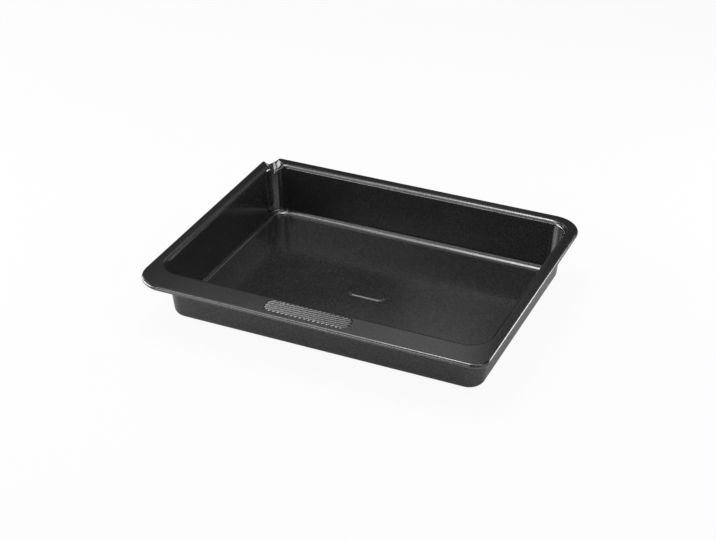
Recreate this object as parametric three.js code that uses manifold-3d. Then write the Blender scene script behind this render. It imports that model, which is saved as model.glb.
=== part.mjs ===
// Roasting pan pressed from one steel sheet: a deep basin with a wired rim, a pour spout in one corner
// and a wide, ribbed grip flange along one long side.
// Millimetres, +Z up, X along the long side, the grip flange towards -Y. The origin lies under the
// middle of the rim's outline, on the surface that the pan stands on.
import * as THREE from 'three';
import { mergeVertices } from 'three/addons/utils/BufferGeometryUtils.js';
import Module from 'manifold-3d';

// Basin, measured on the food side where the walls would meet the plane of the flange
const OPENING_LENGTH = 326;
const OPENING_WIDTH = 238;
const OPENING_CORNER_RADIUS = 20;
const PAN_HEIGHT = 54;
const WALL_LEAN = 6;
const SHEET_THICKNESS = 0.8;
const FLOOR_FILLET_RADIUS = 6.5;
const SHOULDER_RADIUS = 4.5;

// Flange widths, from the opening to the outermost edge, and the corner radii of that edge
const SIDE_FLANGE = 13;
const BACK_FLANGE = 13;
const GRIP_FLANGE = 31;
const RIM_RADIUS_FRONT_LEFT = 29;
const RIM_RADIUS_FRONT_RIGHT = 15;
const RIM_RADIUS_BACK_RIGHT = 30;

// Wired edge: the sheet curls down, out and back under itself around a stiffening wire
const WIRE_DIAMETER = 2.3;
const WIRE_CLEARANCE = 0.3;
const WIRE_SETBACK = 2;
const CURL_TURN = 250;

// Pour spout in the back left corner: the corner is cut off and a channel is pressed through it.
// The low line's place runs from 0 at the back fold to 1 at the left fold.
const SPOUT_CUT = 17;
const SPOUT_FOLD_ANGLE = 23;
const SPOUT_INNER_DEPTH = 6;
const SPOUT_OUTER_DEPTH = 4.5;
const SPOUT_INNER_LOW_LINE = 0.62;
const SPOUT_OUTER_LOW_LINE = 0.67;
const SPOUT_ROUNDNESS = 0.4;

// Slanted ribs pressed up from the grip flange, inside a patch with rounded corners
const GRIP_PATCH_LENGTH = 85;
const GRIP_PATCH_RADIUS = 8;
const GRIP_INNER_MARGIN = 0.8;
const GRIP_OUTER_MARGIN = 4.7;
const RIB_ANGLE = 45;
const RIB_PITCH = 4.5;
const RIB_WIDTH = 2;
const RIB_HEIGHT = 0.6;
const RIB_FLANK = 0.5;

// Plain raised panel in the middle of the floor
const PANEL_LENGTH = 38;
const PANEL_WIDTH = 13;
const PANEL_HEIGHT = 0.6;
const PANEL_FLANK = 0.7;
const PANEL_OFFSET_Y = -4;

// Pressed bars are rooted a little way into the sheet and start with a short upright step
const BAR_ROOT = 0.1;
const BAR_STEP = 0.05;

// Facets
const CORNER_STEPS = 8;
const FOLD_STEPS = 4;
const SPOUT_STEPS = 12;
const FILLET_STEPS = 5;
const SHOULDER_STEPS = 4;
const CURL_STEPS = 12;
const WIRE_SIDES = 10;
const BAR_END_STEPS = 2;
const LEAST_CORNER_RADIUS = 0.5;

const { degToRad } = THREE.MathUtils;
const wasm = await Module();
wasm.setup();

// Sizes that follow from the ones above
const halfLength = OPENING_LENGTH / 2;
const halfWidth = OPENING_WIDTH / 2;
const basinY = (GRIP_FLANGE - BACK_FLANGE) / 2;
const lean = Math.atan2(WALL_LEAN, PAN_HEIGHT);
const curlRadius = WIRE_DIAMETER / 2 + WIRE_CLEARANCE + SHEET_THICKNESS;

// The edge line, where the flat flange starts to curl
const edge = {
  left: -halfLength - SIDE_FLANGE + curlRadius,
  right: halfLength + SIDE_FLANGE - curlRadius,
  front: basinY - halfWidth - GRIP_FLANGE + curlRadius,
  back: basinY + halfWidth + BACK_FLANGE - curlRadius,
};

/** Evenly spaced fractions from 0 to 1. */
function fractions(steps) {
  return Array.from({ length: steps + 1 }, (_, i) => i / steps);
}

/** Unit vector in the plan view at an angle in degrees. */
function direction(angle) {
  return new THREE.Vector2(Math.cos(degToRad(angle)), Math.sin(degToRad(angle)));
}

/** Section of the food side from the floor up to the flange: u is the distance out from the opening's
 *  outline, and (nu, nz) is the surface's normal, from which the sheet's underside is set off. */
function sectionPoints() {
  const wallNormal = 180 - THREE.MathUtils.radToDeg(lean);
  const filletZ = SHEET_THICKNESS + FLOOR_FILLET_RADIUS;
  const filletU = (Math.sin(lean) * (filletZ - PAN_HEIGHT) - FLOOR_FILLET_RADIUS) / Math.cos(lean);
  const shoulderU = SHOULDER_RADIUS * (1 - Math.sin(lean)) / Math.cos(lean);
  const fillet = fractions(FILLET_STEPS).map((t) => {
    const n = direction(THREE.MathUtils.lerp(90, wallNormal, t));
    const u = filletU - FLOOR_FILLET_RADIUS * n.x;
    return { u, z: filletZ - FLOOR_FILLET_RADIUS * n.y, nu: n.x, nz: n.y, dips: false };
  });
  const shoulder = fractions(SHOULDER_STEPS).map((t) => {
    const n = direction(THREE.MathUtils.lerp(wallNormal, 90, t));
    const z = PAN_HEIGHT - SHOULDER_RADIUS + SHOULDER_RADIUS * n.y;
    return { u: shoulderU + SHOULDER_RADIUS * n.x, z, nu: n.x, nz: n.y, dips: true };
  });
  return [...fillet, ...shoulder];
}

/** Point of the basin on one of its corner arcs, set off by u from the opening's outline. */
function basinPoint(column, u, z) {
  const radius = Math.max(OPENING_CORNER_RADIUS + u, LEAST_CORNER_RADIUS);
  const x = column.sideX * (halfLength + u - radius) + column.ray.x * radius;
  const y = basinY + column.sideY * (halfWidth + u - radius) + column.ray.y * radius;
  return new THREE.Vector3(x, y, z);
}

/** Depth of the spout's channel across its width, as a share of its greatest depth. */
function channelShape(across, lowLine) {
  const rise = across < lowLine ? across / lowLine : (1 - across) / (1 - lowLine);
  return (1 + SPOUT_ROUNDNESS) * rise - SPOUT_ROUNDNESS * rise * rise;
}

/** Columns of the skin round one plain corner: a ray of the opening's arc and its mate on the edge line. */
function plainCorner(sideX, sideY, firstAngle, outlineRadius) {
  const radius = outlineRadius - curlRadius;
  const centre = new THREE.Vector2(
    sideX < 0 ? edge.left + radius : edge.right - radius,
    sideY < 0 ? edge.front + radius : edge.back - radius,
  );
  return fractions(CORNER_STEPS).map((t) => {
    const ray = direction(firstAngle + 90 * t);
    const rim = centre.clone().addScaledVector(ray, radius);
    return { sideX, sideY, ray, rim, outward: ray, mitre: 0, across: null };
  });
}

/** Columns round the spout's corner: back edge, channel and left edge. The two columns at the folds
 *  carry the curl's mitred ends, so that the curl is cut in line with the corner. */
function spoutCorner() {
  const cornerX = -(halfLength - OPENING_CORNER_RADIUS);
  const cornerY = basinY + halfWidth - OPENING_CORNER_RADIUS;
  const backStart = new THREE.Vector2(cornerX, edge.back);
  const backFold = new THREE.Vector2(edge.left + SPOUT_CUT - 2 * curlRadius, edge.back);
  const leftFold = new THREE.Vector2(edge.left, edge.back - SPOUT_CUT + 2 * curlRadius);
  const leftEnd = new THREE.Vector2(edge.left, cornerY);
  const stretch = (steps, angles, rims, outward, isChannel) => fractions(steps).map((t) => ({
    sideX: -1,
    sideY: 1,
    ray: direction(THREE.MathUtils.lerp(angles[0], angles[1], t)),
    rim: rims[0].clone().lerp(rims[1], t),
    outward,
    mitre: 0,
    across: isChannel ? t : null,
  }));
  const foldAngles = [90 + SPOUT_FOLD_ANGLE, 180 - SPOUT_FOLD_ANGLE];
  const backwards = new THREE.Vector2(0, 1);
  const leftwards = new THREE.Vector2(-1, 0);
  const back = stretch(FOLD_STEPS, [90, foldAngles[0]], [backStart, backFold], backwards, false);
  const channel = stretch(SPOUT_STEPS, foldAngles, [backFold, leftFold], backwards, true);
  const left = stretch(FOLD_STEPS, [foldAngles[1], 180], [leftFold, leftEnd], leftwards, false);
  channel[0].mitre = -1;
  Object.assign(channel[SPOUT_STEPS], { mitre: 1, outward: leftwards });
  return [...back.slice(0, -1), ...channel, ...left.slice(1)];
}

/** The sheet's two faces along one column, from the floor out to the edge line. */
function skin(column, section) {
  const inChannel = column.across !== null;
  const innerDip = inChannel ? SPOUT_INNER_DEPTH * channelShape(column.across, SPOUT_INNER_LOW_LINE) : 0;
  const rimDip = inChannel ? SPOUT_OUTER_DEPTH * channelShape(column.across, SPOUT_OUTER_LOW_LINE) : 0;
  const top = [];
  const under = [];
  for (const point of section) {
    const dip = point.dips ? innerDip : 0;
    const u = point.u - dip * Math.tan(lean);
    const z = point.z - dip;
    top.push(basinPoint(column, u, z));
    under.push(basinPoint(column, u - point.nu * SHEET_THICKNESS, z - point.nz * SHEET_THICKNESS));
  }
  top.push(new THREE.Vector3(column.rim.x, column.rim.y, PAN_HEIGHT - rimDip));
  under.push(new THREE.Vector3(column.rim.x, column.rim.y, PAN_HEIGHT - rimDip - SHEET_THICKNESS));
  return { top, under };
}

/** One arc of the curl at a column, at a radius about the wire's centre. */
function curlArc(column, radius) {
  return fractions(CURL_STEPS).map((t) => {
    const angle = degToRad(90 - CURL_TURN * t);
    const out = radius * Math.cos(angle);
    const along = column.mitre * Math.max(out, 0);
    return new THREE.Vector3(
      column.rim.x + column.outward.x * out - column.outward.y * along,
      column.rim.y + column.outward.y * out + column.outward.x * along,
      PAN_HEIGHT - curlRadius + radius * Math.sin(angle),
    );
  });
}

/** The pressed sheet with its curled edge, as one closed skin. */
function sheetGeometry(columns) {
  const section = sectionPoints();
  const corners = [];
  const triangle = (a, b, c) => corners.push(a, b, c);
  const quad = (a, b, c, d) => {
    triangle(a, b, c);
    triangle(a, c, d);
  };
  const built = columns.map((column) => ({
    ...skin(column, section),
    outer: curlArc(column, curlRadius),
    inner: curlArc(column, curlRadius - SHEET_THICKNESS),
  }));
  const plainPath = ({ top, under }) => [...top, ...under.toReversed()];
  const curledPath = ({ top, outer, inner, under }) => (
    [...top, ...outer.slice(1), ...inner.toReversed(), ...under.toReversed().slice(1)]
  );
  const floorTop = new THREE.Vector3(0, basinY, SHEET_THICKNESS);
  const floorUnder = new THREE.Vector3(0, basinY, 0);
  columns.forEach((column, k) => {
    const next = (k + 1) % columns.length;
    const inChannel = column.across !== null && columns[next].across !== null;
    const path = inChannel ? plainPath : curledPath;
    const here = path(built[k]);
    const there = path(built[next]);
    triangle(floorTop, here[0], there[0]);
    for (let i = 0; i + 1 < here.length; i += 1) {
      quad(here[i], here[i + 1], there[i + 1], there[i]);
    }
    triangle(floorUnder, there.at(-1), here.at(-1));
  });
  columns.forEach(({ mitre }, k) => {
    const { outer, inner } = built[k];
    for (let i = 0; mitre !== 0 && i < CURL_STEPS; i += 1) {
      const ring = [outer[i + 1], outer[i], inner[i], inner[i + 1]];
      quad(...(mitre > 0 ? ring : ring.toReversed()));
    }
  });
  return new THREE.BufferGeometry().setFromPoints(corners);
}

/** A closed geometry as a solid that can be joined and cut. */
function toSolid(geometry) {
  const bare = geometry.clone();
  bare.deleteAttribute('normal');
  bare.deleteAttribute('uv');
  const merged = mergeVertices(bare, 1e-4);
  const vertProperties = Float32Array.from(merged.attributes.position.array);
  const triVerts = Uint32Array.from(merged.index.array);
  return new wasm.Manifold(new wasm.Mesh({ numProp: 3, vertProperties, triVerts }));
}

/** A solid back as geometry for a mesh. */
function toGeometry(solid) {
  const { vertProperties, triVerts } = solid.getMesh();
  const geometry = new THREE.BufferGeometry();
  geometry.setAttribute('position', new THREE.BufferAttribute(vertProperties, 3));
  geometry.setIndex(new THREE.BufferAttribute(triVerts, 1));
  geometry.computeVertexNormals();
  return geometry;
}

/** A bar with round ends and sloping flanks that stands on the plane z = 0, along X. */
function barGeometry(length, width, height, flank) {
  const radius = width / 2;
  const straight = length / 2 - radius;
  const outline = new THREE.Shape();
  outline.absarc(straight, 0, radius, -Math.PI / 2, Math.PI / 2, false);
  outline.absarc(-straight, 0, radius, Math.PI / 2, 1.5 * Math.PI, false);
  const geometry = new THREE.ExtrudeGeometry(outline, {
    depth: BAR_ROOT + BAR_STEP,
    bevelThickness: height - BAR_STEP,
    bevelSize: flank,
    bevelOffset: -flank,
    bevelSegments: 1,
    curveSegments: BAR_END_STEPS,
  });
  return geometry.translate(0, 0, -BAR_ROOT);
}

/** Bars for the grip: parallel ribs, each as long as the patch with rounded corners lets it be. */
function ribGeometries() {
  const flatFlangeY = basinY - halfWidth - sectionPoints().at(-1).u;
  const patchBack = flatFlangeY - GRIP_INNER_MARGIN;
  const patchFront = edge.front - curlRadius + GRIP_OUTER_MARGIN + RIB_WIDTH;
  const middle = new THREE.Vector2(0, (patchBack + patchFront) / 2);
  const half = new THREE.Vector2(GRIP_PATCH_LENGTH / 2, (patchBack - patchFront) / 2);
  const radius = Math.min(GRIP_PATCH_RADIUS, half.y);
  const core = half.clone().subScalar(radius);
  const along = direction(RIB_ANGLE);
  const isInside = (point) => {
    const past = new THREE.Vector2(Math.abs(point.x), Math.abs(point.y)).sub(core).max(new THREE.Vector2());
    return past.length() < radius;
  };
  const reach = (from, step) => {
    let inside = 0;
    let outside = GRIP_PATCH_LENGTH;
    while (outside - inside > BAR_STEP) {
      const half = (inside + outside) / 2;
      if (isInside(from.clone().addScaledVector(along, step * half))) inside = half;
      else outside = half;
    }
    return inside;
  };
  const ribs = [];
  const count = Math.floor(half.x / RIB_PITCH);
  for (let i = -count; i <= count; i += 1) {
    const from = new THREE.Vector2(i * RIB_PITCH, 0);
    const ahead = reach(from, 1);
    const behind = reach(from, -1);
    const length = ahead + behind;
    if (length < 2 * RIB_WIDTH) continue;
    const centre = from.addScaledVector(along, (ahead - behind) / 2).add(middle);
    const rib = barGeometry(length, RIB_WIDTH, RIB_HEIGHT, RIB_FLANK).rotateZ(degToRad(RIB_ANGLE));
    ribs.push(rib.translate(centre.x, centre.y, PAN_HEIGHT));
  }
  return ribs;
}

/** The sheet with its ribs and panel pressed up: each stands proud on top and is hollow underneath. */
function pressedPan(columns) {
  const panel = barGeometry(PANEL_LENGTH, PANEL_WIDTH, PANEL_HEIGHT, PANEL_FLANK);
  panel.translate(0, basinY + PANEL_OFFSET_Y, SHEET_THICKNESS);
  const bars = [...ribGeometries(), panel];
  const raised = bars.reduce((solid, bar) => solid.add(toSolid(bar)), toSolid(sheetGeometry(columns)));
  const hollowed = bars.reduce(
    (solid, bar) => solid.subtract(toSolid(bar.translate(0, 0, -SHEET_THICKNESS))),
    raised,
  );
  return toGeometry(hollowed);
}

/** A path through given points, with one step for each. */
class PointPath extends THREE.Curve {
  constructor(points) {
    super();
    this.points = points;
  }

  getPoint(t, target = new THREE.Vector3()) {
    const place = Math.min(Math.max(t, 0), 1) * (this.points.length - 1);
    const first = Math.min(Math.floor(place), this.points.length - 2);
    return target.lerpVectors(this.points[first], this.points[first + 1], place - first);
  }

  getUtoTmapping(u) {
    return u;
  }
}

/** The stiffening wire, from one side of the spout round the rim to the other, inside the curl. */
function wireGeometry(columns) {
  const start = columns.findIndex(({ mitre }) => mitre > 0);
  const stop = columns.findIndex(({ mitre }) => mitre < 0);
  const run = [...columns.slice(start), ...columns.slice(0, stop + 1)];
  const z = PAN_HEIGHT - curlRadius;
  const points = run.map(({ rim }) => new THREE.Vector3(rim.x, rim.y, z));
  const shorten = (end, next) => end.addScaledVector(next.clone().sub(end).normalize(), WIRE_SETBACK);
  shorten(points[0], points[1]);
  shorten(points.at(-1), points.at(-2));
  const round = new THREE.Shape().absarc(0, 0, WIRE_DIAMETER / 2, 0, 2 * Math.PI, false);
  return new THREE.ExtrudeGeometry(round, {
    extrudePath: new PointPath(points),
    steps: points.length - 1,
    curveSegments: WIRE_SIDES / 2,
    bevelEnabled: false,
  });
}

/** A named mesh with its own material. */
function piece(name, geometry, color, roughness, metalness) {
  const mesh = new THREE.Mesh(geometry, new THREE.MeshStandardMaterial({ color, roughness, metalness }));
  mesh.name = name;
  return mesh;
}

const columns = [
  ...plainCorner(-1, -1, 180, RIM_RADIUS_FRONT_LEFT),
  ...plainCorner(1, -1, 270, RIM_RADIUS_FRONT_RIGHT),
  ...plainCorner(1, 1, 0, RIM_RADIUS_BACK_RIGHT),
  ...spoutCorner(),
];

const pan = new THREE.Group();
pan.name = 'roasting_pan';
pan.add(piece('pan_shell', pressedPan(columns), 0x2c2c2e, 0.42, 0.25));
pan.add(piece('rim_wire', wireGeometry(columns), 0x8d8f92, 0.4, 1));

export default pan;
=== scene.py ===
"""Studio picture of a roasting pan of coated pressed steel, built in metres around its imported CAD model."""

import logging
import math
from dataclasses import dataclass
from enum import Enum
from typing import Any

import bmesh
import bpy
from mathutils import Euler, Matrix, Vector


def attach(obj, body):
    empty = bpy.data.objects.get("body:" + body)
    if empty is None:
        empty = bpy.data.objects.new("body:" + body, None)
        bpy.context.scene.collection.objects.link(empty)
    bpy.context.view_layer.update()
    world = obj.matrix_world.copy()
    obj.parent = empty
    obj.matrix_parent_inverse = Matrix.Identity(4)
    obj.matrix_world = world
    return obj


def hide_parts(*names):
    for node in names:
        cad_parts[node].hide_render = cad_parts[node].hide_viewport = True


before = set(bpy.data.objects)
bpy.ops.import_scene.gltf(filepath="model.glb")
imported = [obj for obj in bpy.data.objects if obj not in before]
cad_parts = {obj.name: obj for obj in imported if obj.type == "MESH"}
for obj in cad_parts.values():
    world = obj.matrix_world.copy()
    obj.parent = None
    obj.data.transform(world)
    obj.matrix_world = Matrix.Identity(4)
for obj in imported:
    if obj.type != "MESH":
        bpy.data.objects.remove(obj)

LOG = logging.getLogger("roasting_pan")
MM = 0.001
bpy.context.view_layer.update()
PICTURE_WIDTH = 716
WHITE = "#ffffff"
# Nearly all values of a noise texture lie between these two.
NOISE_LOW, NOISE_HIGH = 0.3, 0.7
# Faces that meet at a larger angle than this keep a sharp edge between them.
SMOOTH_ANGLE = math.radians(40)


def linear(hex_colour: str) -> tuple[float, float, float, float]:
    """Turn an sRGB hex colour into linear RGBA.

    Args:
        hex_colour: A colour such as "#2b2b2d".

    Returns:
        Linear red, green, blue and an alpha of 1.
    """
    parts = (int(hex_colour[i:i + 2], 16) / 255 for i in (1, 3, 5))
    red, green, blue = (c / 12.92 if c <= 0.04045 else ((c + 0.055) / 1.055) ** 2.4 for c in parts)
    return red, green, blue, 1.0


def add_node(
    tree: bpy.types.NodeTree, kind: str, inputs: dict[str | int, Any] | None = None, **settings: Any
) -> bpy.types.Node:
    """Add a node with its settings, and fill or link its inputs.

    Args:
        tree: The tree that gets the node.
        kind: The node's Blender type name.
        inputs: Socket name or number to a value, or to the output socket that feeds it.
        **settings: The node's own properties.

    Returns:
        The new node.
    """
    node = tree.nodes.new(kind)
    for name, value in settings.items():
        setattr(node, name, value)
    for key, value in (inputs or {}).items():
        if isinstance(value, bpy.types.NodeSocket):
            tree.links.new(value, node.inputs[key])
        else:
            node.inputs[key].default_value = value
    return node


def empty_material(name: str) -> bpy.types.Material:
    """Make a material with an empty node tree."""
    material = bpy.data.materials.new(name)
    material.use_nodes = True
    material.node_tree.nodes.clear()
    return material


@dataclass(frozen=True)
class NonStickCoat:
    """Non-stick coat, sprayed on carbon steel and baked.

    It gives a charcoal satin skin: soft, narrow glints on every bend, a faint orange peel from the spray,
    a gloss that drifts a little over the sheet, and mineral flecks that are paler and shine more than the
    ground. Real flecks are about 0.3 mm across. They are drawn five times as large so that they show.
    """

    name: str = "non_stick_coat_sprayed_on_carbon_steel"
    ground: str = "#1a1a1b"
    fleck: str = "#2f2f31"
    ior: float = 1.9
    roughness: float = 0.15
    roughness_spread: float = 0.02
    mirror_level: float = 0.5
    mirror_spread: float = 0.16
    fleck_size: float = 1.5 * MM
    fleck_start: float = 0.42
    fleck_full: float = 0.72
    peel_size: float = 1.7 * MM
    peel_depth: float = 0.02 * MM
    cloud_size: float = 70 * MM

    def material(self) -> bpy.types.Material:
        """Build the coat's nodes.

        Returns:
            The material.
        """
        material = empty_material(self.name)
        tree = material.node_tree
        place = add_node(tree, "ShaderNodeTexCoord").outputs["Object"]
        flecks = add_node(tree, "ShaderNodeTexNoise", {
            "Vector": place, "Scale": 1 / self.fleck_size, "Detail": 2.0, "Roughness": 0.6,
        })
        share = add_node(tree, "ShaderNodeMapRange", {
            "Value": flecks.outputs["Fac"], "From Min": self.fleck_start, "From Max": self.fleck_full,
        })
        colour = add_node(tree, "ShaderNodeMix", {
            "Factor": share.outputs["Result"], "A": linear(self.ground), "B": linear(self.fleck),
        }, data_type="RGBA")
        mirror = add_node(tree, "ShaderNodeMapRange", {
            "Value": flecks.outputs["Fac"], "From Min": NOISE_LOW, "From Max": NOISE_HIGH,
            "To Min": self.mirror_level - self.mirror_spread,
            "To Max": self.mirror_level + self.mirror_spread,
        })
        clouds = add_node(tree, "ShaderNodeTexNoise", {
            "Vector": place, "Scale": 1 / self.cloud_size, "Detail": 1.0,
        })
        roughness = add_node(tree, "ShaderNodeMapRange", {
            "Value": clouds.outputs["Fac"], "From Min": NOISE_LOW, "From Max": NOISE_HIGH,
            "To Min": self.roughness - self.roughness_spread,
            "To Max": self.roughness + self.roughness_spread,
        })
        peel = add_node(tree, "ShaderNodeTexNoise", {
            "Vector": place, "Scale": 1 / self.peel_size, "Detail": 2.0,
        })
        bump = add_node(tree, "ShaderNodeBump", {
            "Height": peel.outputs["Fac"], "Distance": self.peel_depth, "Strength": 1.0,
        })
        shader = add_node(tree, "ShaderNodeBsdfPrincipled", {
            "Base Color": colour.outputs["Result"],
            "Roughness": roughness.outputs["Result"],
            "Normal": bump.outputs["Normal"],
            "IOR": self.ior,
            "Specular IOR Level": mirror.outputs["Result"],
        })
        add_node(tree, "ShaderNodeOutputMaterial", {"Surface": shader.outputs["BSDF"]})
        return material


@dataclass(frozen=True)
class DrawnSteelWire:
    """Carbon steel wire, cold drawn and left bare: grey metal, mottled by the rest of the drawing soap."""

    name: str = "carbon_steel_wire_cold_drawn"
    bright: str = "#b4b3b0"
    dull: str = "#86857f"
    roughness: float = 0.38
    mottle_size: float = 0.4 * MM

    def material(self) -> bpy.types.Material:
        """Build the wire's nodes.

        Returns:
            The material.
        """
        material = empty_material(self.name)
        tree = material.node_tree
        place = add_node(tree, "ShaderNodeTexCoord").outputs["Object"]
        mottle = add_node(tree, "ShaderNodeTexNoise", {
            "Vector": place, "Scale": 1 / self.mottle_size, "Detail": 3.0,
        })
        colour = add_node(tree, "ShaderNodeMix", {
            "Factor": mottle.outputs["Fac"], "A": linear(self.dull), "B": linear(self.bright),
        }, data_type="RGBA")
        shader = add_node(tree, "ShaderNodeBsdfPrincipled", {
            "Base Color": colour.outputs["Result"], "Metallic": 1.0, "Roughness": self.roughness,
        })
        add_node(tree, "ShaderNodeOutputMaterial", {"Surface": shader.outputs["BSDF"]})
        return material


@dataclass(frozen=True)
class StudioPaper:
    """Matt white background paper: it looks white to the camera, and keeps a part of the shadow.

    white_share is how much of the paper the camera sees as plain white, and mirrored_share the same for
    what the coat mirrors of it. The rest is paper under the lamps, with the pan's shadow on it.
    """

    name: str = "studio_paper_matt_white"
    colour: str = "#dadada"
    white_share: float = 0.93
    mirrored_share: float = 0.1

    def material(self) -> bpy.types.Material:
        """Build the paper's nodes.

        Returns:
            The material.
        """
        material = empty_material(self.name)
        tree = material.node_tree
        path = add_node(tree, "ShaderNodeLightPath").outputs
        mirrored = add_node(tree, "ShaderNodeMath", {
            0: path["Is Glossy Ray"], 1: path["Is Transmission Ray"],
        }, operation="MAXIMUM")
        dimmed = add_node(tree, "ShaderNodeMath", {
            0: mirrored.outputs["Value"], 1: self.mirrored_share,
        }, operation="MULTIPLY")
        share = add_node(tree, "ShaderNodeMath", {
            0: path["Is Camera Ray"], 1: self.white_share, 2: dimmed.outputs["Value"],
        }, operation="MULTIPLY_ADD")
        paper = add_node(tree, "ShaderNodeBsdfDiffuse", {"Color": linear(self.colour)})
        white = add_node(tree, "ShaderNodeEmission", {"Color": linear(WHITE), "Strength": 1.0})
        mixed = add_node(tree, "ShaderNodeMixShader", {
            0: share.outputs["Value"], 1: paper.outputs["BSDF"], 2: white.outputs["Emission"],
        })
        add_node(tree, "ShaderNodeOutputMaterial", {"Surface": mixed.outputs["Shader"]})
        return material


class SheetFace(Enum):
    """The two faces of the pressed sheet, as a share of its thickness below the food side."""

    FOOD_SIDE = 0.0
    UNDERSIDE = 1.0


@dataclass
class SectionPoint:
    """A point of the sheet's section: its distance out from the opening, its height and its normal.

    dips tells whether the point goes down with the spout's channel.
    """

    out: float
    height: float
    normal: Vector
    dips: bool


@dataclass
class Column:
    """One cut through the sheet, from the floor of the basin out to the rim.

    side tells which corner of the basin it belongs to, ray the way it runs there, and along how far it is
    moved along the front. rim is its point on the edge line, where the curl starts, and outward the curl's
    direction. mitre is set at the curl's two ends, and across is the place in the spout's channel.
    """

    side: tuple[int, int]
    ray: Vector
    rim: Vector
    outward: Vector
    along: float = 0.0
    mitre: int = 0
    across: float | None = None


def fractions(steps: int) -> list[float]:
    """Give evenly spaced fractions from 0 to 1."""
    return [i / steps for i in range(steps + 1)]


def mix(first: float, last: float, share: float) -> float:
    """Give the value a share of the way from first to last."""
    return first + (last - first) * share


def compass(angle: float) -> Vector:
    """Give the unit vector at an angle in degrees, in plan or in a section."""
    return Vector((math.cos(math.radians(angle)), math.sin(math.radians(angle))))


def evaluated_mesh(piece: bpy.types.Object, modifier: bpy.types.Modifier) -> None:
    """Replace a piece's mesh by what its modifier makes of it, and remove the modifier.

    Args:
        piece: The object.
        modifier: Its only modifier.
    """
    bpy.context.view_layer.update()
    graph = bpy.context.evaluated_depsgraph_get()
    mesh = bpy.data.meshes.new_from_object(piece.evaluated_get(graph))
    piece.modifiers.remove(modifier)
    old, piece.data = piece.data, mesh
    bpy.data.meshes.remove(old)
    mesh.name = piece.name


def nodes_modifier(
    piece: bpy.types.Object, tree: bpy.types.GeometryNodeTree, values: dict[str, Any]
) -> bpy.types.Modifier:
    """Put a Geometry Nodes tree on a piece and set its inputs by their sockets' identifiers.

    Args:
        piece: The object that gets the modifier.
        tree: The tree.
        values: The value of each named input.

    Returns:
        The modifier.
    """
    modifier = piece.modifiers.new(tree.name, "NODES")
    modifier.node_group = tree
    for item in tree.interface.items_tree:
        if item.item_type == "SOCKET" and item.in_out == "INPUT" and item.name in values:
            modifier[item.identifier] = values[item.name]
    return modifier


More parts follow.
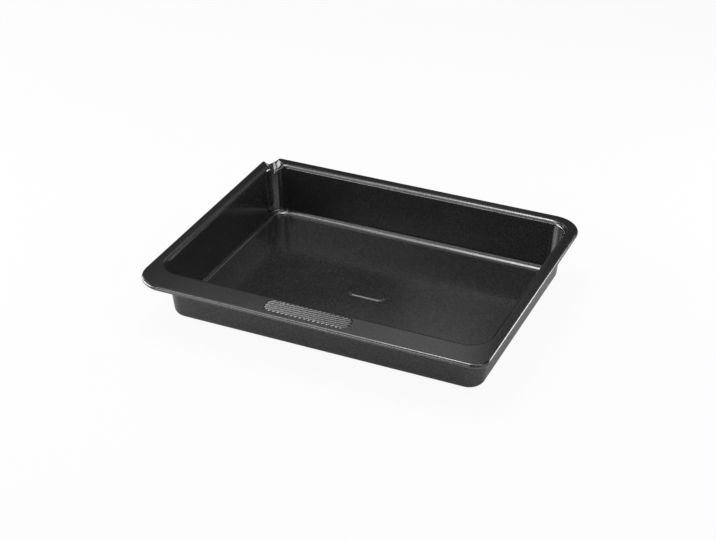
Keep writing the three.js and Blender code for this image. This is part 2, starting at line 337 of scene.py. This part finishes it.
@dataclass
class PressedShell:
    """The pan's one pressed sheet: basin, flange, spout and curled edge.

    Lengths are in metres and angles in degrees. The spout's low lines tell where its channel is deepest,
    as a share of the way from the back fold to the left fold, and spout_roundness how round its bed is.
    guard is the width of the narrow rows beside each bend.
    """

    opening_length: float = 326 * MM
    opening_width: float = 238 * MM
    opening_corner_radius: float = 20 * MM
    height: float = 54 * MM
    wall_lean: float = 6 * MM
    thickness: float = 0.8 * MM
    floor_fillet_radius: float = 6.5 * MM
    shoulder_radius: float = 4.5 * MM
    side_flange: float = 13 * MM
    back_flange: float = 13 * MM
    grip_flange: float = 31 * MM
    rim_radius_front_left: float = 29 * MM
    rim_radius_front_right: float = 15 * MM
    rim_radius_back_right: float = 30 * MM
    curl_radius: float = 2.25 * MM
    curl_turn: float = 250
    spout_cut: float = 17 * MM
    spout_fold_angle: float = 23
    spout_inner_depth: float = 6 * MM
    spout_outer_depth: float = 4.5 * MM
    spout_inner_low_line: float = 0.62
    spout_outer_low_line: float = 0.67
    spout_roundness: float = 0.4
    spout_fold_softness: float = 0.12
    panel_length: float = 38 * MM
    panel_width: float = 13 * MM
    panel_height: float = 0.6 * MM
    panel_flank: float = 1.1 * MM
    panel_offset: float = -4 * MM
    guard: float = 1 * MM
    corner_steps: int = 20
    fold_steps: int = 8
    spout_steps: int = 36
    fillet_steps: int = 10
    shoulder_steps: int = 12
    flange_steps: int = 32
    curl_steps: int = 18
    panel_steps: int = 24
    panel_flank_steps: int = 6
    front_steps_each_end: int = 8

    def __post_init__(self) -> None:
        """Work out the sizes that follow from the fields."""
        self.half_length = self.opening_length / 2
        self.half_width = self.opening_width / 2
        self.basin_y = (self.grip_flange - self.back_flange) / 2
        self.lean = math.atan2(self.wall_lean, self.height)
        self.edge_left = -self.half_length - self.side_flange + self.curl_radius
        self.edge_right = -self.edge_left
        self.edge_front = self.basin_y - self.half_width - self.grip_flange + self.curl_radius
        self.edge_back = self.basin_y + self.half_width + self.back_flange - self.curl_radius
        self.shoulder_out = self.shoulder_radius * (1 - math.sin(self.lean)) / math.cos(self.lean)
        self.flat_front = self.basin_y - self.half_width - self.shoulder_out

    def section(self) -> list[SectionPoint]:
        """Give the section's points on the food side, from the floor up to the flange.

        Returns:
            The points, with a guard row beside each bend so that flat stretches stay flat to the eye.
        """
        wall_angle = 180 - math.degrees(self.lean)
        wall = compass(wall_angle)
        rise = Vector((math.sin(self.lean), math.cos(self.lean)))
        fillet_height = self.thickness + self.floor_fillet_radius
        fillet_out = (
            math.sin(self.lean) * (fillet_height - self.height) - self.floor_fillet_radius
        ) / math.cos(self.lean)
        points = [SectionPoint(fillet_out - self.guard, self.thickness, Vector((0, 1)), False)]
        for t in fractions(self.fillet_steps):
            normal = compass(mix(90, wall_angle, t))
            place = Vector((fillet_out, fillet_height)) - normal * self.floor_fillet_radius
            points.append(SectionPoint(place.x, place.y, normal, False))
        low = Vector((points[-1].out, points[-1].height)) + rise * self.guard
        points.append(SectionPoint(low.x, low.y, wall, False))
        shoulder = []
        for t in fractions(self.shoulder_steps):
            normal = compass(mix(wall_angle, 90, t))
            centre = Vector((self.shoulder_out, self.height - self.shoulder_radius))
            place = centre + normal * self.shoulder_radius
            shoulder.append(SectionPoint(place.x, place.y, normal, True))
        high = Vector((shoulder[0].out, shoulder[0].height)) - rise * self.guard
        points.append(SectionPoint(high.x, high.y, wall, True))
        return points + shoulder

    def basin_point(self, column: Column, out: float, height: float) -> Vector:
        """Place a point of the section on a column.

        Args:
            column: The column.
            out: Distance out from the opening's outline.
            height: Height above the underside.

        Returns:
            The point in the pan's frame.
        """
        radius = self.opening_corner_radius + out
        x = column.side[0] * (self.half_length + out - radius) + column.ray.x * radius + column.along
        y = self.basin_y + column.side[1] * (self.half_width + out - radius) + column.ray.y * radius
        return Vector((x, y, height))

    def channel_depth(self, across: float | None, low_line: float, depth: float) -> float:
        """Give the spout's depth at a place across its channel.

        Args:
            across: From 0 at the back fold to 1 at the left fold, or None outside the channel.
            low_line: Where the channel is deepest.
            depth: Its depth there.

        Returns:
            The depth below the flange.
        """
        if across is None:
            return 0.0
        fall = across / low_line if across < low_line else (1 - across) / (1 - low_line)
        # The channel starts at each fold with a short parabola, so that the fold is soft.
        soft = self.spout_fold_softness
        eased = fall * fall / (2 * soft) if fall < soft else fall - soft / 2
        eased /= 1 - soft / 2
        return depth * ((1 + self.spout_roundness) * eased - self.spout_roundness * eased * eased)

    def plain_corner(self, side: tuple[int, int], first_angle: float, outline_radius: float) -> list[Column]:
        """Give the columns round a plain corner.

        Args:
            side: Signs of the corner's x and y.
            first_angle: Angle of its first ray in degrees.
            outline_radius: Radius of the rim's outline there.

        Returns:
            The columns, counter-clockwise.
        """
        radius = outline_radius - self.curl_radius
        centre = Vector((
            self.edge_left + radius if side[0] < 0 else self.edge_right - radius,
            self.edge_front + radius if side[1] < 0 else self.edge_back - radius,
        ))
        rays = [compass(first_angle + 90 * t) for t in fractions(self.corner_steps)]
        return [Column(side, ray, centre + ray * radius, ray) for ray in rays]

    def front_side(self, ribs: "GripRibs") -> list[Column]:
        """Give the columns along the grip flange. They slant with the ribs where the ribs are.

        Args:
            ribs: The ribs, whose spacing the columns follow.

        Returns:
            The columns, left to right.
        """
        end = self.half_length - self.opening_corner_radius
        reach = ribs.pitch * (math.ceil(ribs.patch_length / 2 / ribs.pitch) + 1)
        dense = round(2 * reach / ribs.pitch * ribs.columns_per_rib)
        places = [mix(-end, -reach, t) for t in fractions(self.front_steps_each_end)][1:]
        places += [mix(-reach, reach, t) for t in fractions(dense)][1:]
        places += [mix(reach, end, t) for t in fractions(self.front_steps_each_end)][1:-1]
        half_flat = (self.flat_front - self.edge_front) / 2
        ahead = Vector((0, -1))
        columns = []
        for place in places:
            # The slant fades out between the ribs and the corners.
            slant = min(1.0, (end - abs(place)) / (end - reach)) * half_flat / math.tan(ribs.angle)
            rim = Vector((place - slant, self.edge_front))
            columns.append(Column((0, -1), ahead, rim, ahead, along=place + slant))
        return columns

    def spout_corner(self) -> list[Column]:
        """Give the columns round the spout's corner: back edge, channel and left edge.

        Returns:
            The columns, counter-clockwise. Those at the two folds carry the curl's mitred ends.
        """
        corner_x = -(self.half_length - self.opening_corner_radius)
        corner_y = self.basin_y + self.half_width - self.opening_corner_radius
        leg = self.spout_cut - 2 * self.curl_radius
        back_start = Vector((corner_x, self.edge_back))
        back_fold = Vector((self.edge_left + leg, self.edge_back))
        left_fold = Vector((self.edge_left, self.edge_back - leg))
        left_end = Vector((self.edge_left, corner_y))
        folds = (90 + self.spout_fold_angle, 180 - self.spout_fold_angle)
        backwards = Vector((0, 1))
        leftwards = Vector((-1, 0))
        columns = []
        for t in fractions(self.fold_steps)[:-1]:
            ray = compass(mix(90, folds[0], t))
            columns.append(Column((-1, 1), ray, back_start.lerp(back_fold, t), backwards))
        for t in fractions(self.spout_steps):
            ray = compass(mix(*folds, t))
            columns.append(Column((-1, 1), ray, back_fold.lerp(left_fold, t), backwards, across=t))
        columns[self.fold_steps].mitre = -1
        columns[-1].mitre = 1
        columns[-1].outward = leftwards
        for t in fractions(self.fold_steps)[1:]:
            ray = compass(mix(folds[1], 180, t))
            columns.append(Column((-1, 1), ray, left_fold.lerp(left_end, t), leftwards))
        return columns

    def columns(self, ribs: "GripRibs") -> list[Column]:
        """Give all columns, counter-clockwise from the front left corner.

        Args:
            ribs: The grip's ribs.

        Returns:
            The columns.
        """
        return [
            *self.plain_corner((-1, -1), 180, self.rim_radius_front_left),
            *self.front_side(ribs),
            *self.plain_corner((1, -1), 270, self.rim_radius_front_right),
            *self.plain_corner((1, 1), 0, self.rim_radius_back_right),
            *self.spout_corner(),
        ]

    def skin(self, column: Column, section: list[SectionPoint], face: SheetFace) -> list[Vector]:
        """Give one face of the sheet along a column, from the floor out to the edge line.

        Args:
            column: The column.
            section: The section's points.
            face: Which face.

        Returns:
            The points.
        """
        drop = face.value * self.thickness
        inner = self.channel_depth(column.across, self.spout_inner_low_line, self.spout_inner_depth)
        outer = self.channel_depth(column.across, self.spout_outer_low_line, self.spout_outer_depth)
        points = []
        for point in section:
            # A point that dips slides down along the leaning wall.
            dip = inner if point.dips else 0.0
            out = point.out - dip * math.tan(self.lean) - point.normal.x * drop
            points.append(self.basin_point(column, out, point.height - dip - point.normal.y * drop))
        start = points[-1]
        end = Vector((*column.rim, self.height - outer - drop))
        edge = self.guard / (end - start).length
        shares = [edge, *fractions(self.flange_steps)[1:-1], 1 - edge, 1.0]
        return points + [start.lerp(end, t) for t in sorted(shares)]

    def curl_arc(self, column: Column, radius: float) -> list[Vector]:
        """Give one arc of the curl.

        Args:
            column: The column.
            radius: The arc's radius about the wire's centre.

        Returns:
            The points, from the edge line round under the rim.
        """
        points = []
        for t in fractions(self.curl_steps):
            angle = math.radians(90 - self.curl_turn * t)
            out = radius * math.cos(angle)
            # A mitred end is cut at 45 degrees: it runs on past the fold as far as the curl stands out.
            along = column.mitre * max(out, 0.0)
            tangent = Vector((-column.outward.y, column.outward.x))
            place = column.rim + column.outward * out + tangent * along
            points.append(Vector((*place, self.height - self.curl_radius + radius * math.sin(angle))))
        return points

    def panel_rings(self, face: SheetFace) -> list[list[Vector]]:
        """Give the rings of the plain raised panel on the floor, from its surround up to its top.

        Args:
            face: Which face of the sheet.

        Returns:
            The rings.
        """
        base = self.thickness * (1 - face.value)
        foot = self.panel_width / 2
        half = self.panel_length / 2 - foot
        profile = [(self.guard, 0.0)]
        for t in fractions(self.panel_flank_steps):
            # The flank rises as a smooth step, level at its foot and at its top.
            profile.append((-self.panel_flank * t, self.panel_height * t * t * (3 - 2 * t)))
        profile.append((-self.panel_flank - self.guard, self.panel_height))
        rings = []
        for out, rise in profile:
            ring = []
            for sign, first in ((1, -90), (-1, 90)):
                for t in fractions(self.panel_steps):
                    spot = compass(first + 180 * t) * (foot + out)
                    y = self.basin_y + self.panel_offset + spot.y
                    ring.append(Vector((sign * half + spot.x, y, base + rise)))
            rings.append(ring)
        return rings

    def fill_floor(
        self, mesh: bmesh.types.BMesh, rim: list[bmesh.types.BMVert], face: SheetFace
    ) -> None:
        """Close one face of the floor, with the panel in its middle.

        Args:
            mesh: The mesh that gets the faces.
            rim: The floor's outermost ring.
            face: Which face of the sheet.
        """
        rings = [[mesh.verts.new(point) for point in ring] for ring in self.panel_rings(face)]
        for first, second in zip(rings, rings[1:]):
            for i, vert in enumerate(first):
                after = (i + 1) % len(first)
                mesh.faces.new((vert, first[after], second[after], second[i]))
        mesh.faces.new(rings[-1])
        loops = []
        for ring in (rim, rings[0]):
            for i, vert in enumerate(ring):
                after = ring[(i + 1) % len(ring)]
                loops.append(mesh.edges.get((vert, after)) or mesh.edges.new((vert, after)))
        bmesh.ops.triangle_fill(mesh, use_beauty=True, use_dissolve=False, edges=loops)

    def sheet_mesh(self, ribs: "GripRibs") -> bpy.types.Mesh:
        """Build the sheet as one closed mesh, before the ribs are pressed into it.

        Args:
            ribs: The grip's ribs, which the columns follow.

        Returns:
            The mesh.
        """
        mesh = bmesh.new()
        section = self.section()
        columns = self.columns(ribs)
        tops = []
        unders = []
        curls = []
        for column in columns:
            top = [mesh.verts.new(p) for p in self.skin(column, section, SheetFace.FOOD_SIDE)]
            under = [mesh.verts.new(p) for p in self.skin(column, section, SheetFace.UNDERSIDE)]
            tops.append(top)
            unders.append(under)
            if column.across is None or column.mitre:
                outer = [mesh.verts.new(p) for p in self.curl_arc(column, self.curl_radius)[1:]]
                inner = self.curl_arc(column, self.curl_radius - self.thickness)[1:]
                inner = [mesh.verts.new(p) for p in inner]
                curls.append(([top[-1], *outer], [under[-1], *inner]))
            else:
                # The spout's edge is not curled.
                curls.append(None)
        for k, column in enumerate(columns):
            after = (k + 1) % len(columns)
            in_channel = column.across is not None and columns[after].across is not None
            paths = []
            for i in (k, after):
                edge = [] if in_channel else [*curls[i][0][1:], *reversed(curls[i][1][1:])]
                paths.append([*tops[i], *edge, *reversed(unders[i])])
            here, there = paths
            for i in range(len(here) - 1):
                mesh.faces.new((here[i], here[i + 1], there[i + 1], there[i]))
            if column.mitre:
                outer, inner = curls[k]
                for i in range(self.curl_steps):
                    mesh.faces.new((outer[i + 1], outer[i], inner[i], inner[i + 1]))
        self.fill_floor(mesh, [top[0] for top in tops], SheetFace.FOOD_SIDE)
        self.fill_floor(mesh, [under[0] for under in unders], SheetFace.UNDERSIDE)
        bmesh.ops.recalc_face_normals(mesh, faces=mesh.faces)
        data = bpy.data.meshes.new("pan_sheet")
        mesh.to_mesh(data)
        mesh.free()
        return data

    def build(self, ribs: "GripRibs", coat: bpy.types.Material) -> bpy.types.Object:
        """Build the sheet and press the ribs into it.

        Args:
            ribs: The grip's ribs.
            coat: The coat's material.

        Returns:
            The finished piece.
        """
        piece = bpy.data.objects.new("pan_sheet", self.sheet_mesh(ribs))
        bpy.context.scene.collection.objects.link(piece)
        evaluated_mesh(piece, ribs.press(piece, self, coat))
        piece.data.shade_smooth()
        piece.data.set_sharp_from_angle(angle=SMOOTH_ANGLE)
        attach(piece, "root")
        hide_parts("pan_shell")
        return piece


@dataclass
class GripRibs:
    """The slanted ribs that are pressed up from the grip flange, in a patch with rounded corners."""

    patch_length: float = 85 * MM
    patch_radius: float = 8 * MM
    inner_margin: float = 0.8 * MM
    outer_margin: float = 6.7 * MM
    angle: float = math.radians(45)
    pitch: float = 4.5 * MM
    width: float = 2.8 * MM
    flank: float = 1.4 * MM
    height: float = 0.6 * MM
    columns_per_rib: int = 16

    def tree(self) -> bpy.types.GeometryNodeTree:
        """Build the tree that presses parallel ribs into whatever sheet it is given.

        Returns:
            The tree, with the ribs' sizes as named inputs.
        """
        tree = bpy.data.node_groups.new("grip_ribs", "GeometryNodeTree")
        for name, kind in (
            ("Sheet", "NodeSocketGeometry"), ("Patch Centre", "NodeSocketVector"),
            ("Patch Core", "NodeSocketVector"), ("Corner Radius", "NodeSocketFloat"),
            ("Rib Angle", "NodeSocketFloat"), ("Half Pitch", "NodeSocketFloat"),
            ("Half Width", "NodeSocketFloat"), ("Flank", "NodeSocketFloat"),
            ("Height", "NodeSocketFloat"), ("Coat", "NodeSocketMaterial"),
        ):
            tree.interface.new_socket(name, in_out="INPUT", socket_type=kind)
        tree.interface.new_socket("Sheet", in_out="OUTPUT", socket_type="NodeSocketGeometry")
        given = add_node(tree, "NodeGroupInput").outputs
        place = add_node(tree, "ShaderNodeVectorMath", {
            0: add_node(tree, "GeometryNodeInputPosition").outputs["Position"], 1: given["Patch Centre"],
        }, operation="SUBTRACT").outputs["Vector"]
        # How high a point is on its rib, from 0 beside it to 1 on the crest.
        turned = add_node(tree, "ShaderNodeVectorRotate", {
            "Vector": place, "Angle": given["Rib Angle"],
        }, rotation_type="Z_AXIS", invert=True)
        across = add_node(tree, "ShaderNodeSeparateXYZ", {0: turned.outputs["Vector"]}).outputs["Y"]
        from_crest = add_node(tree, "ShaderNodeMath", {
            0: across, 1: given["Half Pitch"],
        }, operation="PINGPONG").outputs["Value"]
        crest = add_node(tree, "ShaderNodeMath", {
            0: given["Half Width"], 1: given["Flank"],
        }, operation="SUBTRACT").outputs["Value"]
        rib = add_node(tree, "ShaderNodeMapRange", {
            "Value": from_crest, "From Min": crest, "From Max": given["Half Width"],
            "To Min": 1.0, "To Max": 0.0,
        }, interpolation_type="SMOOTHSTEP").outputs["Result"]
        # How high the crests are at a point: their full height in the patch, and 0 outside its outline.
        flat = add_node(tree, "ShaderNodeVectorMath", {
            0: add_node(tree, "ShaderNodeVectorMath", {0: place}, operation="ABSOLUTE").outputs["Vector"],
            1: (1, 1, 0),
        }, operation="MULTIPLY").outputs["Vector"]
        past_core = add_node(tree, "ShaderNodeVectorMath", {
            0: add_node(tree, "ShaderNodeVectorMath", {
                0: flat, 1: given["Patch Core"],
            }, operation="SUBTRACT").outputs["Vector"],
            1: (0, 0, 0),
        }, operation="MAXIMUM").outputs["Vector"]
        reach = add_node(tree, "ShaderNodeVectorMath", {0: past_core}, operation="LENGTH").outputs["Value"]
        inner_radius = add_node(tree, "ShaderNodeMath", {
            0: given["Corner Radius"], 1: given["Flank"],
        }, operation="SUBTRACT").outputs["Value"]
        patch = add_node(tree, "ShaderNodeMapRange", {
            "Value": reach, "From Min": inner_radius, "From Max": given["Corner Radius"],
            "To Min": given["Height"], "To Max": 0.0,
        }, interpolation_type="SMOOTHSTEP").outputs["Result"]
        lift = add_node(tree, "ShaderNodeMath", {0: rib, 1: patch}, operation="MULTIPLY").outputs["Value"]
        pressed = add_node(tree, "GeometryNodeSetPosition", {
            "Geometry": given["Sheet"],
            "Offset": add_node(tree, "ShaderNodeCombineXYZ", {"Z": lift}).outputs["Vector"],
        })
        real = add_node(tree, "GeometryNodeRealizeInstances", {"Geometry": pressed.outputs["Geometry"]})
        coated = add_node(tree, "GeometryNodeSetMaterial", {
            "Geometry": real.outputs["Geometry"], "Material": given["Coat"],
        })
        add_node(tree, "NodeGroupOutput", {"Sheet": coated.outputs["Geometry"]})
        return tree

    def press(
        self, piece: bpy.types.Object, shell: PressedShell, coat: bpy.types.Material
    ) -> bpy.types.Modifier:
        """Put the ribs on the sheet as a modifier.

        Args:
            piece: The sheet.
            shell: Its sizes.
            coat: The coat's material.

        Returns:
            The modifier.
        """
        back = shell.flat_front - self.inner_margin
        front = shell.edge_front - shell.curl_radius + self.outer_margin
        half_width = (back - front) / 2
        radius = min(self.patch_radius, half_width)
        return nodes_modifier(piece, self.tree(), {
            "Patch Centre": (0.0, (back + front) / 2, 0.0),
            "Patch Core": (self.patch_length / 2 - radius, half_width - radius, 0.0),
            "Corner Radius": radius,
            "Rib Angle": self.angle,
            "Half Pitch": self.pitch * math.sin(self.angle) / 2,
            "Half Width": self.width / 2,
            "Flank": self.flank,
            "Height": self.height,
            "Coat": coat,
        })


@dataclass
class RimWire:
    """The stiffening wire inside the curled edge, from one side of the spout round to the other."""

    diameter: float = 2.3 * MM
    setback: float = 2 * MM
    sides: int = 16

    def tree(self) -> bpy.types.GeometryNodeTree:
        """Build the tree that sweeps a round wire along a path of edges.

        Returns:
            The tree, with the wire's sizes as named inputs.
        """
        tree = bpy.data.node_groups.new("rim_wire", "GeometryNodeTree")
        for name, kind in (
            ("Path", "NodeSocketGeometry"), ("Radius", "NodeSocketFloat"), ("Sides", "NodeSocketInt"),
            ("Steel", "NodeSocketMaterial"),
        ):
            tree.interface.new_socket(name, in_out="INPUT", socket_type=kind)
        tree.interface.new_socket("Wire", in_out="OUTPUT", socket_type="NodeSocketGeometry")
        given = add_node(tree, "NodeGroupInput").outputs
        curve = add_node(tree, "GeometryNodeMeshToCurve", {"Mesh": given["Path"]})
        ring = add_node(tree, "GeometryNodeCurvePrimitiveCircle", {
            "Resolution": given["Sides"], "Radius": given["Radius"],
        })
        swept = add_node(tree, "GeometryNodeCurveToMesh", {
            "Curve": curve.outputs["Curve"], "Profile Curve": ring.outputs["Curve"], "Fill Caps": True,
        })
        real = add_node(tree, "GeometryNodeRealizeInstances", {"Geometry": swept.outputs["Mesh"]})
        steel = add_node(tree, "GeometryNodeSetMaterial", {
            "Geometry": real.outputs["Geometry"], "Material": given["Steel"],
        })
        add_node(tree, "NodeGroupOutput", {"Wire": steel.outputs["Geometry"]})
        return tree

    def build(
        self, shell: PressedShell, ribs: GripRibs, steel: bpy.types.Material
    ) -> bpy.types.Object:
        """Sweep the wire along the rim.

        Args:
            shell: The pressed sheet that the wire lies in.
            ribs: The grip's ribs, which the sheet's columns follow.
            steel: The wire's material.

        Returns:
            The finished piece.
        """
        columns = shell.columns(ribs)
        start = next(i for i, column in enumerate(columns) if column.mitre > 0)
        stop = next(i for i, column in enumerate(columns) if column.mitre < 0)
        run = [*columns[start:], *columns[:stop + 1]]
        points = [Vector((*column.rim, shell.height - shell.curl_radius)) for column in run]
        points[0] += (points[1] - points[0]).normalized() * self.setback
        points[-1] += (points[-2] - points[-1]).normalized() * self.setback
        data = bpy.data.meshes.new("stiffening_wire")
        data.from_pydata(points, [(i, i + 1) for i in range(len(points) - 1)], [])
        piece = bpy.data.objects.new("stiffening_wire", data)
        bpy.context.scene.collection.objects.link(piece)
        evaluated_mesh(piece, nodes_modifier(piece, self.tree(), {
            "Radius": self.diameter / 2, "Sides": self.sides, "Steel": steel,
        }))
        piece.data.shade_smooth()
        piece.data.set_sharp_from_angle(angle=SMOOTH_ANGLE)
        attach(piece, "root")
        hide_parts("rim_wire")
        return piece


@dataclass(frozen=True)
class Softbox:
    """A rectangular studio lamp: its place, what it is aimed at and its size, in metres.

    brightness is how bright its face looks, where 1 is the picture's white.
    """

    name: str
    place: tuple[float, float, float]
    aim: tuple[float, float, float]
    width: float
    depth: float
    brightness: float

    def build(self) -> None:
        """Hang the lamp."""
        lamp = bpy.data.lights.new(self.name, "AREA")
        lamp.shape = "RECTANGLE"
        lamp.size = self.width
        lamp.size_y = self.depth
        lamp.energy = self.brightness * math.pi * self.width * self.depth
        holder = bpy.data.objects.new(self.name, lamp)
        holder.location = self.place
        way = Vector(self.aim) - Vector(self.place)
        holder.rotation_euler = way.to_track_quat("-Z", "Y").to_euler()
        bpy.context.scene.collection.objects.link(holder)


@dataclass
class Studio:
    """The white table, the lamps and the camera at the photograph's angle.

    Nearly all that the eye sees of the dark coat is what it mirrors. So the lamps hang where parts of the
    pan, such as its bends, corners, rim and flange, mirror them towards the camera.
    """

    camera_place: tuple[float, float, float] = (0.55336, -1.22661, 0.83971)
    camera_way: tuple[float, float, float] = (-0.356414, 0.779770, -0.514711)
    camera_roll: float = -0.230
    focal_pixels: float = 1626.62
    sensor_width: float = 36.0
    floor_size: float = 8.0
    # The floor lies this far below the pan, so that the two are never in one plane.
    floor_gap: float = 0.1 * MM
    ambient: float = 0.03
    lamps: tuple[Softbox, ...] = (
        Softbox("overhead_core", (-0.19, 0.05, 1.05), (-0.19, 0.05, 0.0), 0.22, 0.7, 5.5),
        Softbox("overhead_core_right", (-0.13, 0.2, 1.04), (-0.13, 0.2, 0.0), 0.12, 0.36, 4.9),
        Softbox("overhead_middle", (-0.375, 0.02, 1.05), (-0.375, 0.02, 0.0), 0.15, 0.85, 2.8),
        Softbox("overhead_front_left", (-0.6, -0.26, 1.05), (-0.6, -0.26, 0.0), 0.3, 0.48, 2.8),
        Softbox("overhead_back_left", (-0.535, 0.25, 1.05), (-0.535, 0.25, 0.0), 0.17, 0.5, 0.9),
        Softbox("overhead_right", (0.14, 0.18, 1.05), (0.14, 0.18, 0.0), 0.48, 0.47, 2.3),
        Softbox("overhead_far_right", (0.66, -0.15, 1.05), (0.66, -0.15, 0.0), 0.36, 0.4, 2.8),
        Softbox("overhead_front", (-0.5, -0.66, 1.05), (-0.5, -0.66, 0.0), 0.75, 0.36, 0.94),
        Softbox("front_softbox", (-0.53, -1.1, 0.83), (0.0, -0.1, 0.05), 0.77, 0.55, 1.1),
        Softbox("front_mid", (-0.57, -1.4, 0.48), (0.0, -0.1, 0.05), 0.22, 0.3, 0.49),
        Softbox("front_low", (-0.55, -1.4, 0.15), (0.0, -0.1, 0.05), 0.8, 0.28, 5.1),
        Softbox("left_softbox", (-1.2, -0.22, 0.62), (0.0, 0.0, 0.0), 0.45, 0.5, 2.5),
        Softbox("front_right", (0.47, -0.77, 0.96), (0.17, -0.13, 0.05), 0.66, 0.45, 1.0),
        Softbox("right_back", (0.95, 0.41, 0.36), (0.17, -0.13, 0.05), 0.65, 0.35, 1.8),
        Softbox("left_low", (-1.2, -0.2, 0.13), (0.0, 0.0, 0.05), 1.1, 0.2, 15.0),
        Softbox("left_back", (-1.09, 0.51, 0.69), (-0.165, 0.128, 0.05), 0.12, 0.17, 6.5),
        Softbox("left_back_high", (-0.94, 0.53, 0.88), (-0.165, 0.128, 0.05), 0.11, 0.1, 6.5),
        Softbox("left_front", (-1.2, -0.7, 0.66), (0.1, 0.05, 0.0), 0.7, 0.5, 5.7),
        Softbox("right_bar", (0.51, 0.5, 0.33), (0.17, 0.0, 0.05), 0.2, 0.36, 7.9),
        Softbox("back_right_panel", (0.35, 1.08, 0.88), (0.0, 0.0, 0.05), 0.7, 0.35, 0.38),
        Softbox("right_fill", (1.2, -0.3, 0.45), (0.0, 0.0, 0.0), 0.9, 0.3, 2.1),
        Softbox("back_left_panel", (-0.715, 1.25, 1.23), (0.0, -0.1, 0.05), 0.77, 0.36, 0.54),
        Softbox("back_middle_panel", (-0.35, 1.25, 0.83), (0.0, 0.0, 0.05), 0.24, 0.2, 0.15),
    )

    def build_floor(self, paper: bpy.types.Material) -> bpy.types.Object:
        """Lay the paper that the pan stands on.

        Args:
            paper: The paper's material.

        Returns:
            The floor.
        """
        half = self.floor_size / 2
        data = bpy.data.meshes.new("studio_floor")
        corners = [(x * half, y * half, -self.floor_gap) for x, y in ((-1, -1), (1, -1), (1, 1), (-1, 1))]
        data.from_pydata(corners, [], [(0, 1, 2, 3)])
        data.materials.append(paper)
        floor = bpy.data.objects.new("studio_floor", data)
        bpy.context.scene.collection.objects.link(floor)
        return floor

    def build_light(self) -> None:
        """Hang the lamps and set the room's dim light."""
        for lamp in self.lamps:
            lamp.build()
        world = bpy.data.worlds.new("studio_room")
        world.use_nodes = True
        world.node_tree.nodes.clear()
        room = add_node(world.node_tree, "ShaderNodeBackground", {
            "Color": linear(WHITE), "Strength": self.ambient,
        })
        add_node(world.node_tree, "ShaderNodeOutputWorld", {"Surface": room.outputs["Background"]})
        bpy.context.scene.world = world

    def build_camera(self) -> None:
        """Set the camera where the photograph was taken from."""
        data = bpy.data.cameras.new("photo_camera")
        data.sensor_width = self.sensor_width
        data.lens = self.focal_pixels * self.sensor_width / PICTURE_WIDTH
        camera = bpy.data.objects.new("photo_camera", data)
        camera.location = self.camera_place
        turn = Vector(self.camera_way).to_track_quat("-Z", "Y")
        turn = turn @ Euler((0, 0, math.radians(self.camera_roll))).to_quaternion()
        camera.rotation_euler = turn.to_euler()
        bpy.context.scene.collection.objects.link(camera)
        bpy.context.scene.camera = camera


def main() -> None:
    """Build the pan and its studio."""
    logging.basicConfig(level=logging.INFO, format="%(name)s: %(message)s")
    bpy.context.scene.view_settings.view_transform = "Standard"
    studio = Studio()
    studio.build_camera()
    studio.build_light()
    studio.build_floor(StudioPaper().material())
    ribs = GripRibs()
    shell = PressedShell()
    for piece in (
        shell.build(ribs, NonStickCoat().material()),
        RimWire().build(shell, ribs, DrawnSteelWire().material()),
    ):
        LOG.info("%s: %d faces", piece.name, len(piece.data.polygons))


if __name__ == "__main__":
    main()
